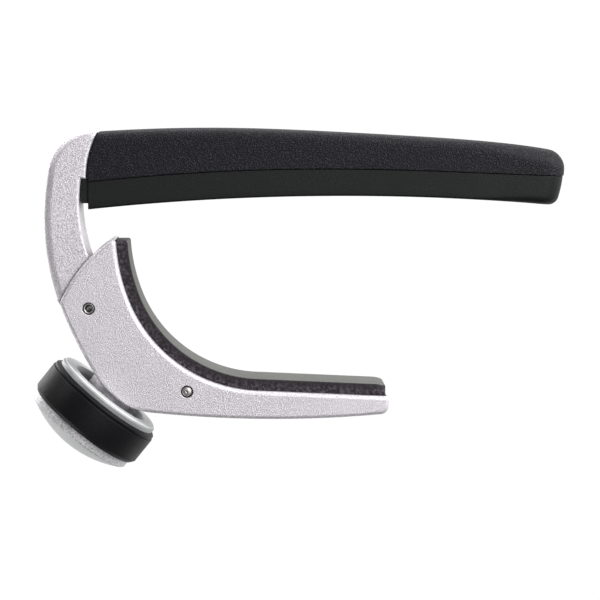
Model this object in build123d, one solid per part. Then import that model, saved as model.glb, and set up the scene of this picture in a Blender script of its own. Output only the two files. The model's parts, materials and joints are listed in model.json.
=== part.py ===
"""Guitar capo with a fixed string bar, a hinged neck jaw and an adjusting knob.

Millimetres.  X runs across the neck towards the open mouth, Y along the strings (the hinge
axis) and Z away from the fingerboard.  The origin is the crown of the string face, the point
that presses on the middle of the fingerboard.
"""
import os
from math import atan, cos, degrees, hypot, radians, sin, tan

from build123d import *

def polar(centre, radius, angle):
    """Point at an angle, in degrees, on a circle in the XZ plane."""
    return (centre[0] + radius * cos(radians(angle)), centre[1] + radius * sin(radians(angle)))


# widths along the strings
BAR_HALF = 4.7
JAW_HALF = 6.1
CHEEK_INNER = 4.95
TAIL_HALF = 4.65

# string bar
STRING_RADIUS = 395.0
BAR_ROOT_X = -40.6
PARTING = ((BAR_ROOT_X, 2.3), (-22.0, 3.8), (-2.0, 4.3), (17.0, 3.85), (40.0, 3.0))
CROWN = ((-38.75, 10.4), (-27.5, 10.82), (-8.5, 10.52), (10.6, 9.54), (29.8, 7.93), (33.9, 7.27))
TIP_CORNER = 3.1
TIP_LEAN = 0.152
TIP_FRONT = 34.49
SPINE_HALF = 2.9
SPINE_END_X = 30.5
COVER_WALL = 1.7
CARRIER_HALF = 2.6
CARRIER_DEEP = 1.9
STUD_X = (-24.0, 0.0, 22.0)

# upright arm
ARM_HEAD = (-39.34, 2.9)
ARM_BACK = (-5.91, -3.53)
ARM_BACK_RADIUS = 41.8
ARM_HEAD_RADIUS = ARM_BACK_RADIUS - hypot(ARM_BACK[0] - ARM_HEAD[0], ARM_BACK[1] - ARM_HEAD[1])
ARM_THROAT = (-15.78, -0.96)
ARM_THROAT_RADIUS = 26.2

# neck cradle: a main arc, a flatter arc towards the hinge and a straight toe
CRADLE = (-12.85, -8.25)
CRADLE_RADIUS = 21.05
HEEL_ARC_RADIUS = 27.84
HEEL_ARC_START = 201.3
TOE_TILT = 2.7
PAD_PROUD = 1.85
PAD_SUNK = 0.2
SEAT_DEEP = 0.9
WEB = 0.8
TOE_X = 7.3

# jaw: ear beside the arm, long back, bend at the knob and belly under the toe
EAR = (-24.48, -25.33)
EAR_RADIUS = 22.3
BEND = (-29.71, -23.76)
BEND_RADIUS = 10.85
BACK_RADIUS = 61.5
JAW_BACK = polar(BEND, BACK_RADIUS - BEND_RADIUS, 33.46)
BELLY_RADIUS = 188.5
BELLY = polar(BEND, BELLY_RADIUS - BEND_RADIUS, 83.68)

# hinge pin, pad pin and the line of the adjusting screw
PIN_RADIUS = 1.0
PIN_RUNNING = 0.05
HINGE = (-40.55, -17.78)
PAD_PIN = (-25.0, -31.15)
SCREW_TILT = 50.92
SCREW_ARM = 11.29
HEEL_RADIUS = 4.0

# adjusting gear, measured along the screw from the hinge towards the knob
NUT_REST = 2.3
NUT_TALL = 3.8
TRUNNION_RADIUS = 1.2
SLOT_PLAY = 0.08
PRONG_HALF = 2.3
FORK_HALF = 2.7
SCREW_RADIUS = 1.5
BOSS_RADIUS = 3.9
BOSS_END = 11.4
SPRING_BORE = 2.8
SPRING_SEAT = 10.6

# knob
RING_TOP = 9.19
GRIP_TOP = 10.17
GRIP_END = 15.98
RIM_END = 17.38
DOME_TOP = 19.85
KNOB_RADIUS = 10.1
RING_RADIUS = 9.3
CORE_RADIUS = 8.3
RECESS_RADIUS = 6.9
WASHER_TOP = 11.95
RECESS_FLOOR = 12.35
HEAD_SEAT = 14.2

U_DIR = (sin(radians(SCREW_TILT)), -cos(radians(SCREW_TILT)))
N_DIR = (-cos(radians(SCREW_TILT)), -sin(radians(SCREW_TILT)))
REST_ANGLE = degrees(atan(NUT_REST / SCREW_ARM))
KNOB_PLANE = Plane(
    origin=(HINGE[0] + SCREW_ARM * U_DIR[0], 0, HINGE[1] + SCREW_ARM * U_DIR[1]),
    x_dir=(U_DIR[0], 0, U_DIR[1]),
    z_dir=(N_DIR[0], 0, N_DIR[1]),
)


def arc(centre, radius, start, end):
    """Arc in the XZ plane between two angles in degrees."""
    middle = polar(centre, radius, (start + end) / 2)
    return ThreePointArc(polar(centre, radius, start), middle, polar(centre, radius, end))


def gear(u, n):
    """XZ point from distances across and along the adjusting screw, counted from the hinge."""
    return (HINGE[0] + u * U_DIR[0] + n * N_DIR[0], HINGE[1] + u * U_DIR[1] + n * N_DIR[1])


def radial(along, across):
    """XZ point from distances along and across the line from the hinge to the resting nut."""
    c = cos(radians(REST_ANGLE))
    s = sin(radians(REST_ANGLE))
    return gear(along * c - across * s, along * s + across * c)


def slab(face, half):
    """Solid reaching the same distance to both sides of the XZ plane."""
    return extrude(Plane.XZ * face, half, both=True)


def closed(*edges):
    """Face inside a closed chain of edges."""
    return make_face(Curve() + list(edges))


def side_edges(solid, half):
    """Outline edges on the two side faces of a slab."""
    return solid.edges().filter_by(lambda e: abs(abs(e.center().Y) - half) < 0.01)


def turned(points):
    """Solid of revolution about the screw line from (radius, height) corners."""
    profile = Plane.XZ * make_face(Polyline(*points, close=True))
    return KNOB_PLANE * revolve(profile, Axis.Z)


def mouth(offset):
    """Everything on the mouth side of the cradle curve moved outwards by an offset."""
    lift = CRADLE_RADIUS - HEEL_ARC_RADIUS
    heel_centre = polar(CRADLE, lift, HEEL_ARC_START)
    toe_angle = 270 - TOE_TILT
    turn = polar(CRADLE, CRADLE_RADIUS + offset, toe_angle)
    toe = (TOE_X + 20, turn[1] - (TOE_X + 20 - turn[0]) * tan(radians(TOE_TILT)))
    upper = arc(heel_centre, HEEL_ARC_RADIUS + offset, 172, HEEL_ARC_START)
    lower = arc(CRADLE, CRADLE_RADIUS + offset, HEEL_ARC_START, toe_angle)
    start = polar(heel_centre, HEEL_ARC_RADIUS + offset, 172)
    return closed(upper, lower, Polyline(turn, toe, (toe[0], start[1]), start))


def bar_outline():
    """Side outline of the whole bar: crown, rounded tip and arched string face."""
    root_low = (BAR_ROOT_X, string_height(BAR_ROOT_X))
    tip_low = (33.7, string_height(33.7))
    return closed(
        Spline(*CROWN),
        ThreePointArc(CROWN[-1], (35.3, 6.2), (35.8, 4.6)),
        ThreePointArc((35.8, 4.6), (35.6, 2.3), (35.1, 0.0)),
        ThreePointArc((35.1, 0.0), (34.8, -0.95), tip_low),
        ThreePointArc(tip_low, (-4.0, string_height(-4.0)), root_low),
        Line(root_low, (BAR_ROOT_X, 2.9)),
        ThreePointArc((BAR_ROOT_X, 2.9), (-39.94, 7.35), CROWN[0]),
    )


def string_height(x):
    """Height of the arched string face at one place along the bar."""
    return (STRING_RADIUS ** 2 - x ** 2) ** 0.5 - STRING_RADIUS


def bar_solid():
    """Rounded bar before it is divided into cover and string pad."""
    bar = slab(bar_outline(), BAR_HALF) & tip_plan()
    upper = side_edges(bar, BAR_HALF).filter_by(lambda e: e.center().Z > 5 and e.length > 20)
    return fillet(upper, 1.5)


def tip_plan():
    """Leaning block that rounds the two corners of the bar's tip, seen from above."""
    face = Pos((TIP_FRONT - 46) / 2, 0, -5) * Rectangle(TIP_FRONT + 46, 2 * BAR_HALF)
    face = fillet(face.vertices().group_by(Axis.X)[-1], TIP_CORNER)
    return extrude(face, 20, dir=(TIP_LEAN, 0, 1))


def under_parting(drop=0.0):
    """Face covering everything below the parting line, or a line moved down from it."""
    points = [(x, z - drop) for x, z in PARTING]
    corners = (points[-1], (points[-1][0], -15), (points[0][0] - 4, -15), (points[0][0] - 4, points[0][1]))
    return closed(Spline(*points), Polyline(*corners, points[0]))


def spine():
    """Bar of the arm casting that fills the cover down to the parting line."""
    root = BAR_ROOT_X - 2.0
    top = [(x, z - COVER_WALL) for x, z in CROWN[1:-2]]
    side = Polyline((root, 0), (root, 8.4), *top, (SPINE_END_X, 6.1), (SPINE_END_X, 0), close=True)
    shoulder = Pos(root - 1, 0, 0) * Box(2.0, 8, 6, align=(Align.MIN, Align.CENTER, Align.CENTER))
    return slab(make_face(side), SPINE_HALF) - slab(under_parting(), SPINE_HALF + 1) - shoulder


def studs(radius, height):
    """Round studs that stand on the parting line and locate the pad carrier in the spine."""
    made = Part()
    for x in STUD_X:
        made += Pos(x, 0, 3.2) * Cylinder(radius, height, align=(Align.CENTER, Align.CENTER, Align.MIN))
    return made


def carrier_solid():
    """Stiff strip in the back of the string pad, with its end block at the arm."""
    band = under_parting() - under_parting(CARRIER_DEEP)
    strip = slab(band & Pos(-5, 3) * Rectangle(69, 12), CARRIER_HALF)
    block = Box(1.1, 8.6, 3.9, align=(Align.MIN, Align.CENTER, Align.MIN))
    bridge = Box(3.0, 5.2, 1.6, align=(Align.MIN, Align.CENTER, Align.MIN))
    return strip + Pos(BAR_ROOT_X - 1.1, 0, -1.1) * block + Pos(BAR_ROOT_X - 0.5, 0, 0.7) * bridge + studs(1.1, 2.6)


def arm_upright():
    """Curved upright of the arm casting, with softened edges."""
    join = degrees(atan((ARM_BACK[1] - ARM_HEAD[1]) / (ARM_BACK[0] - ARM_HEAD[0]))) + 180
    tip = polar(ARM_HEAD, ARM_HEAD_RADIUS, 92)
    foot = polar(ARM_BACK, ARM_BACK_RADIUS, 198.06)
    step = polar(ARM_THROAT, ARM_THROAT_RADIUS, 171.8)
    shoulder = (-39.05, 10.1)
    outline = closed(
        arc(ARM_HEAD, ARM_HEAD_RADIUS, 92, join),
        arc(ARM_BACK, ARM_BACK_RADIUS, join, 198.06),
        Polyline(foot, gear(-4.3, -1), polar(ARM_THROAT, ARM_THROAT_RADIUS, 206)),
        arc(ARM_THROAT, ARM_THROAT_RADIUS, 206, 171.8),
        Line(step, (-40.88, step[1])),
        ThreePointArc((-40.88, step[1]), (-40.2, 7.35), shoulder),
        Line(shoulder, tip),
    )
    arm = slab(outline, BAR_HALF)
    back = side_edges(arm, BAR_HALF).filter_by(lambda e: e.center().X < -43.3)
    arm = fillet(back.filter_by(lambda e: e.length > 5), 1.3)
    throat = side_edges(arm, BAR_HALF).filter_by(lambda e: -12 < e.center().Z < 9)
    return fillet(throat.filter_by(lambda e: e.center().X > -42.6), 0.4)


def arm_tail():
    """Part of the arm inside the jaw: the hinge heel and the forked lever."""
    neck = Polyline(
        gear(-4.76, 2.21), gear(-5.2, -6.3), gear(-2.0, -4.6), gear(4.5, -1.4),
        gear(4.5, 3.1), gear(0, 3.9), close=True,
    )
    lever = Polyline(
        radial(0, -PRONG_HALF), radial(11.9, -PRONG_HALF),
        radial(11.9, PRONG_HALF), radial(0, PRONG_HALF), close=True,
    )
    face = make_face(neck) + make_face(lever)
    face += Pos(*HINGE) * Circle(HEEL_RADIUS)
    face += Pos(*radial(11.9, 0)) * Circle(PRONG_HALF)
    tail = slab(face, TAIL_HALF)
    gap = Polyline(radial(8.2, -6), radial(18, -6), radial(18, 6), radial(8.2, 6), close=True)
    tail -= slab(make_face(gap), FORK_HALF)
    half = TRUNNION_RADIUS + SLOT_PLAY
    slot = Polyline(radial(11.4, -half), radial(18, -half), radial(18, half), radial(11.4, half), close=True)
    cut = make_face(slot) + Pos(*radial(11.4, 0)) * Circle(half)
    return tail - slab(cut, 8)


def upper_arm():
    """One casting: upright, spine and forked tail."""
    body = arm_upright() + arm_tail() + spine()
    bore = slab(Pos(*HINGE) * Circle(PIN_RADIUS + PIN_RUNNING), 8)
    return body - bore - studs(1.1, 2.6)


def rounded(face, point, radius):
    """Face with the corner nearest a point rounded."""
    return fillet(face.vertices().sort_by_distance((point[0], point[1], 0))[:1], radius)


def jaw_outline():
    """Side outline of the jaw: ear, back, heel bend, belly, toe and cradle rim."""
    lean = degrees(atan((JAW_BACK[1] - BEND[1]) / (JAW_BACK[0] - BEND[0]))) + 180
    sweep_end = 270 - degrees(atan((BELLY[0] - BEND[0]) / (BELLY[1] - BEND[1])))
    ear_low = polar(EAR, EAR_RADIUS, 157.9)
    ear_tip = polar(EAR, EAR_RADIUS, 121)
    back_top = degrees(atan((ear_low[1] - JAW_BACK[1]) / (ear_low[0] - JAW_BACK[0]))) + 180
    belly_end = polar(BELLY, BELLY_RADIUS, 275.3)
    outline = closed(
        arc(EAR, EAR_RADIUS, 157.9, 121),
        Polyline(ear_tip, (-10, -25), (TOE_X + 0.15, -30), belly_end),
        arc(BELLY, BELLY_RADIUS, 275.3, sweep_end),
        arc(BEND, BEND_RADIUS, sweep_end, lean),
        ThreePointArc(polar(BEND, BEND_RADIUS, lean),
                      polar(JAW_BACK, BACK_RADIUS, (lean + back_top) / 2), ear_low),
    )
    rim = outline - mouth(PAD_PROUD)
    rim = rounded(rim, (-36.2, -6.3), 0.6)
    rim = rounded(rim, (TOE_X, -32.1), 0.5)
    rim = rounded(rim, belly_end, 1.3)
    return rounded(rim, ear_low, 0.8)


def jaw_pocket():
    """Hollow that takes the arm's tail, open at the top and behind the hinge."""
    room = Polyline(
        gear(15.4, -8), gear(15.4, 6.4), gear(11.2, 7.0), gear(6.6, 5.9), gear(5.0, 5.3),
        gear(4.4, 12), gear(-14, 12), gear(-14, -20), close=True,
    )
    return slab(make_face(room) - mouth(PAD_PROUD + SEAT_DEEP + WEB), CHEEK_INNER)


def pad_lug(radius, half):
    """Lug that reaches from the pad plate down and around the pad pin."""
    facing = degrees(atan((CRADLE[1] - PAD_PIN[1]) / (CRADLE[0] - PAD_PIN[0])))
    side = Polyline(
        polar(PAD_PIN, radius, facing + 90), polar(polar(PAD_PIN, radius, facing + 90), 2.4, facing),
        polar(polar(PAD_PIN, radius, facing - 90), 2.4, facing), polar(PAD_PIN, radius, facing - 90),
        close=True,
    )
    return slab(make_face(side) + Pos(*PAD_PIN) * Circle(radius), half)


def jaw_body():
    """Jaw casting: two cheeks, a web under the pad, a back wall and the screw boss."""
    body = slab(jaw_outline(), JAW_HALF)
    body = fillet(side_edges(body, JAW_HALF), 0.6)
    body -= jaw_pocket()
    body -= slab(mouth(PAD_PROUD + SEAT_DEEP) & Pos(-15, -20) * Rectangle(44.0, 26.0), BAR_HALF + 0.1)
    body -= pad_lug(2.1, 2.1)
    body += turned(((0, 7.6), (BOSS_RADIUS, 7.6), (BOSS_RADIUS, BOSS_END), (0, BOSS_END)))
    body -= turned(((0, 4.5), (SPRING_BORE, 4.5), (SPRING_BORE, SPRING_SEAT), (0, SPRING_SEAT)))
    body -= turned(((0, 9), (2.3, 9), (2.3, 13), (0, 13)))
    for centre in (HINGE, PAD_PIN):
        body -= slab(Pos(*centre) * Circle(PIN_RADIUS), 8)
    return body


def cradle_strip(inner, outer, half, heel_z, toe_x):
    """Curved strip between two depths of the cradle."""
    window = Pos((toe_x - 45) / 2, (heel_z - 40) / 2) * Rectangle(toe_x + 45, heel_z + 40)
    return slab((mouth(outer) - mouth(inner)) & window, half)


def neck_pad_plate():
    """Stiff plate moulded into the back of the neck pad, drilled for the pad pin."""
    plate = cradle_strip(PAD_PROUD + PAD_SUNK, PAD_PROUD + SEAT_DEEP - 0.02, 4.4, -8.2, 6.4)
    lug = pad_lug(1.95, 2.0) - slab(mouth(PAD_PROUD + PAD_SUNK), 4)
    return plate + lug - slab(Pos(*PAD_PIN) * Circle(PIN_RADIUS), 8)


def neck_pad():
    """Rubber lining of the cradle."""
    strip = cradle_strip(0, PAD_PROUD + PAD_SUNK, BAR_HALF, -7.1, 6.9)
    ends = strip.edges().filter_by(Axis.Y).sort_by(Axis.X)
    return fillet(ends[-1:], 0.6)


def cross_pin(centre, half):
    """Steel pin along the hinge direction with chamfered, dimpled ends."""
    pin = slab(Pos(*centre) * Circle(PIN_RADIUS), half)
    pin = chamfer(pin.edges().filter_by(GeomType.CIRCLE), 0.2)
    for side in (-1, 1):
        tip = Pos(centre[0], side * half, centre[1]) * Rot(-90 * side, 0, 0)
        pin -= tip * Cone(0.1, 0.35, 0.5, align=(Align.CENTER, Align.CENTER, Align.MAX))
    return pin


def hinge_washers():
    """Two thin washers between the arm and the cheeks."""
    ring = Pos(*HINGE) * (Circle(3.2) - Circle(PIN_RADIUS + 0.1))
    return slab(ring, CHEEK_INNER - 0.05) - slab(ring, TAIL_HALF)


def boss_bushing():
    """Flanged bush in the end of the boss that guides the screw."""
    return turned((
        (SCREW_RADIUS + 0.05, SPRING_SEAT), (2.3, SPRING_SEAT), (2.3, BOSS_END),
        (3.7, BOSS_END), (3.7, WASHER_TOP - 0.05), (SCREW_RADIUS + 0.05, WASHER_TOP - 0.05),
    ))


def return_spring():
    """Compression spring around the screw, between the nut and the end of the boss."""
    wire = 0.25
    low = NUT_REST + NUT_TALL / 2 + wire + 0.02
    high = SPRING_SEAT - wire - 0.02
    path = Pos(0, 0, low) * Helix((high - low) / 5, high - low, 2.3)
    section = Plane(origin=path @ 0, z_dir=path % 0) * Circle(wire)
    return KNOB_PLANE * sweep(section, path=path)


def nut_block():
    """Threaded block with a trunnion on each side, carried by the fork."""
    block = Pos(0, 0, NUT_REST) * Box(4.6, 5.0, NUT_TALL)
    block = chamfer(block.edges().filter_by(Axis.Z), 0.5)
    block += Pos(0, 0, NUT_REST) * Rot(90, 0, 0) * Cylinder(TRUNNION_RADIUS, 9.0)
    block -= Cylinder(SCREW_RADIUS + 0.05, 30)
    return KNOB_PLANE * block


def adjusting_screw():
    """Screw from the knob to the nut, with a hexagon head held in the hub."""
    shank = turned((
        (0, -0.1), (1.2, -0.1), (1.2, 0.32), (SCREW_RADIUS, 0.32),
        (SCREW_RADIUS, HEAD_SEAT), (0, HEAD_SEAT),
    ))
    head = Pos(0, 0, HEAD_SEAT) * extrude(RegularPolygon(2.75, 6, major_radius=False), 1.7)
    return shank + KNOB_PLANE * head


def screw_stop():
    """Ring riveted on the screw's tip that stops the nut when the jaw is fully open."""
    return turned(((1.2, -0.05), (2.0, -0.05), (2.0, 0.3), (1.2, 0.3)))


def thrust_washer():
    """Low-friction washer between the knob and the boss."""
    return turned(((1.5, WASHER_TOP), (3.9, WASHER_TOP), (3.9, RECESS_FLOOR), (1.5, RECESS_FLOOR)))


def knob_hub():
    """Knob core: the ring and tapered recess that face the jaw, and the seat for the grip."""
    hub = turned((
        (1.5, RECESS_FLOOR), (5.4, RECESS_FLOOR), (RECESS_RADIUS, RING_TOP),
        (RING_RADIUS - 0.35, RING_TOP), (RING_RADIUS, RING_TOP + 0.35), (RING_RADIUS, GRIP_TOP),
        (CORE_RADIUS, GRIP_TOP), (CORE_RADIUS, GRIP_END), (6.4, GRIP_END), (6.4, 14.6), (5.2, 14.6),
        (5.2, GRIP_END), (1.5, GRIP_END),
    ))
    socket = Pos(0, 0, HEAD_SEAT) * extrude(RegularPolygon(2.75, 6, major_radius=False), 3)
    return hub - KNOB_PLANE * socket


def knob_grip():
    """Rubber band around the knob, with a shallow step near its upper edge."""
    return turned((
        (CORE_RADIUS, GRIP_TOP), (9.5, GRIP_TOP), (9.95, GRIP_TOP + 0.25), (9.95, GRIP_TOP + 0.6),
        (KNOB_RADIUS, GRIP_TOP + 0.7), (KNOB_RADIUS, GRIP_END - 0.5), (9.6, GRIP_END),
        (CORE_RADIUS, GRIP_END),
    ))


def knob_cap():
    """Domed cap that closes the knob, with a ring that presses into the hub."""
    side = Polyline((0, GRIP_END), (RING_RADIUS, GRIP_END), (RING_RADIUS, RIM_END - 0.2), (9.1, RIM_END))
    rise = (9.1 ** 2 + (DOME_TOP - RIM_END) ** 2) / (2 * (DOME_TOP - RIM_END))
    middle = (4.6, DOME_TOP - rise + (rise ** 2 - 4.6 ** 2) ** 0.5)
    dome = ThreePointArc((9.1, RIM_END), middle, (0, DOME_TOP))
    profile = Plane.XZ * closed(side, dome, Line((0, DOME_TOP), (0, GRIP_END)))
    ring = turned(((5.2, 14.8), (6.4, 14.8), (6.4, GRIP_END), (5.2, GRIP_END)))
    return KNOB_PLANE * revolve(profile, Axis.Z) + ring


def build():
    """Every node of the capo by name."""
    bar = bar_solid()
    arm = upper_arm()
    carrier = carrier_solid() - arm
    under = slab(under_parting(), 10)
    return {
        "upper_arm": arm,
        "top_cover": bar - under - arm - carrier,
        "string_pad": (bar & under) - carrier,
        "pad_carrier": carrier,
        "hinge_washers": hinge_washers(),
        "jaw_body": jaw_body(),
        "neck_pad_plate": neck_pad_plate(),
        "neck_pad": neck_pad(),
        "hinge_pin": cross_pin(HINGE, 5.65),
        "pad_pin": cross_pin(PAD_PIN, 5.85),
        "boss_bushing": boss_bushing(),
        "return_spring": return_spring(),
        "nut_block": nut_block(),
        "adjusting_screw": adjusting_screw(),
        "screw_stop": screw_stop(),
        "thrust_washer": thrust_washer(),
        "knob_hub": knob_hub(),
        "knob_grip": knob_grip(),
        "knob_cap": knob_cap(),
    }


if __name__ == "__main__":
    os.makedirs("parts", exist_ok=True)
    for name, shape in build().items():
        export_step(shape, f"parts/{name}.step")
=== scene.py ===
"""Guitar capo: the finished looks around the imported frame.

Lengths are written in millimetres and multiplied by MM. X runs across the neck towards the open
mouth, Y along the strings and Z away from the fingerboard, as in the frame.
"""

import json
import logging
from dataclasses import dataclass, field
from enum import Enum
from math import asin, cos, degrees, pi, radians, sin, tan
from typing import Callable, Sequence

import bmesh
import bpy
import numpy as np
from mathutils import Matrix, Vector


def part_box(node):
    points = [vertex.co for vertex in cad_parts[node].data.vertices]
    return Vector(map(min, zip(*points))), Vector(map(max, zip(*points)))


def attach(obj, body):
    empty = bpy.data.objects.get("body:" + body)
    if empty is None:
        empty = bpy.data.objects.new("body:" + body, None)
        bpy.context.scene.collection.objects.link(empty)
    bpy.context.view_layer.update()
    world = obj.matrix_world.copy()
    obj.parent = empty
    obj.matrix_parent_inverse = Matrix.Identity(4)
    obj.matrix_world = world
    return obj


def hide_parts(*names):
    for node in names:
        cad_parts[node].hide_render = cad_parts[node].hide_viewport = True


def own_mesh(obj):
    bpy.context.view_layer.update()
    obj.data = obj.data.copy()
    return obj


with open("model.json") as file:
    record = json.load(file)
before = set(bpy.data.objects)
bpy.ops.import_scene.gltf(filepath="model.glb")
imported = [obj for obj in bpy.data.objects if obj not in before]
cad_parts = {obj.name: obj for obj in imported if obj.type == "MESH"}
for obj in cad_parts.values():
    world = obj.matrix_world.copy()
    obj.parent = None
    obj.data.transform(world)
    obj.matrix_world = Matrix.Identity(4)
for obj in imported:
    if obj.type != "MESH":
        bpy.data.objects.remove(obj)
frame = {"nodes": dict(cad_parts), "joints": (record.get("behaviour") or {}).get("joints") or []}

MM = 0.001
LOG = logging.getLogger("capo")
Rule = Callable[[float], float]
Point = tuple[float, float, float]
Colour = tuple[float, float, float]
Outline = Sequence[tuple[float, float]]
Socket = bpy.types.NodeSocket
Value = Socket | float | tuple[float, ...]
Inputs = dict[str | int, object]


class Body(Enum):
    """Bodies of the frame that pieces ride on."""

    ARM = "arm"
    JAW = "jaw"
    NUT = "nut"
    KNOB = "knob"


class Grain(Enum):
    """How a moulded surface is broken up."""

    LEATHER = "leather"
    SMOOTH = "smooth"
    TORN = "torn"


# ---------------------------------------------------------------- node graphs


class Graph:
    """Short way to add and join nodes in one tree."""

    def __init__(self, tree: bpy.types.NodeTree) -> None:
        """Work on a tree.

        Args:
            tree: Shader or geometry tree that gets the nodes.
        """
        self.tree = tree

    def fill(self, node: bpy.types.Node, inputs: Inputs) -> None:
        """Set or join a node's inputs.

        Args:
            node: The node.
            inputs: Values or output sockets, by the input's name or number.
        """
        for key, value in inputs.items():
            if isinstance(value, Socket):
                self.tree.links.new(value, node.inputs[key])
            else:
                node.inputs[key].default_value = value

    def add(self, kind: str, inputs: Inputs | None = None, **settings: object) -> bpy.types.Node:
        """Add a node, set it up and join its inputs.

        Args:
            kind: Blender's name of the node type.
            inputs: Values or output sockets, by the input's name or number.
            settings: Attributes of the node itself.

        Returns:
            The new node.
        """
        node = self.tree.nodes.new(kind)
        for name, value in settings.items():
            setattr(node, name, value)
        self.fill(node, inputs or {})
        return node

    def maths(self, operation: str, *values: Value) -> Socket:
        """Add a Math node.

        Args:
            operation: Blender's name of the operation.
            values: One to three values or sockets.

        Returns:
            The result.
        """
        return self.add("ShaderNodeMath", dict(enumerate(values)), operation=operation).outputs[0]

    def vector(self, operation: str, *values: Value, out: str = "Vector") -> Socket:
        """Add a Vector Math node.

        Args:
            operation: Blender's name of the operation.
            values: Values or sockets.
            out: Name of the output, Value for a number.

        Returns:
            The result.
        """
        return self.add("ShaderNodeVectorMath", dict(enumerate(values)), operation=operation).outputs[out]

    def spread(self, value: Value, low: float, high: float, to_low: float = 0.0,
               to_high: float = 1.0, kind: str = "LINEAR") -> Socket:
        """Map a value from one range to another, held at the ends.

        Args:
            value: The value or socket.
            low: Start of its range.
            high: End of its range.
            to_low: Result at the start.
            to_high: Result at the end.
            kind: Blender's name of the interpolation.

        Returns:
            The result.
        """
        node = self.add("ShaderNodeMapRange", {0: value, 1: low, 2: high, 3: to_low, 4: to_high},
                        interpolation_type=kind)
        return node.outputs[0]

    def mix(self, share: Value, first: Value, second: Value) -> Socket:
        """Blend two colours.

        Args:
            share: Share of the second colour.
            first: Colour at share 0.
            second: Colour at share 1.

        Returns:
            The blended colour.
        """
        node = self.add("ShaderNodeMix", {0: share, 6: first, 7: second}, data_type="RGBA")
        return node.outputs[2]


def rgba(colour: Colour) -> tuple[float, float, float, float]:
    """Colour with full opacity."""
    return (*colour, 1.0)


def group_tree(name: str, kind: str, inputs: Sequence[tuple[str, str, object]],
               outputs: Sequence[tuple[str, str]]) -> tuple[Graph, bpy.types.Node, bpy.types.Node]:
    """Make a node group with named sockets.

    Args:
        name: Name of the group.
        kind: Tree type.
        inputs: Name, socket type and default of each input.
        outputs: Name and socket type of each output.

    Returns:
        The graph, its input node and its output node.
    """
    tree = bpy.data.node_groups.new(name, kind)
    for label, socket_type, default in inputs:
        socket = tree.interface.new_socket(label, in_out="INPUT", socket_type=socket_type)
        if default is not None:
            socket.default_value = default
    for label, socket_type in outputs:
        tree.interface.new_socket(label, in_out="OUTPUT", socket_type=socket_type)
    graph = Graph(tree)
    return graph, graph.add("NodeGroupInput"), graph.add("NodeGroupOutput")


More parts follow.
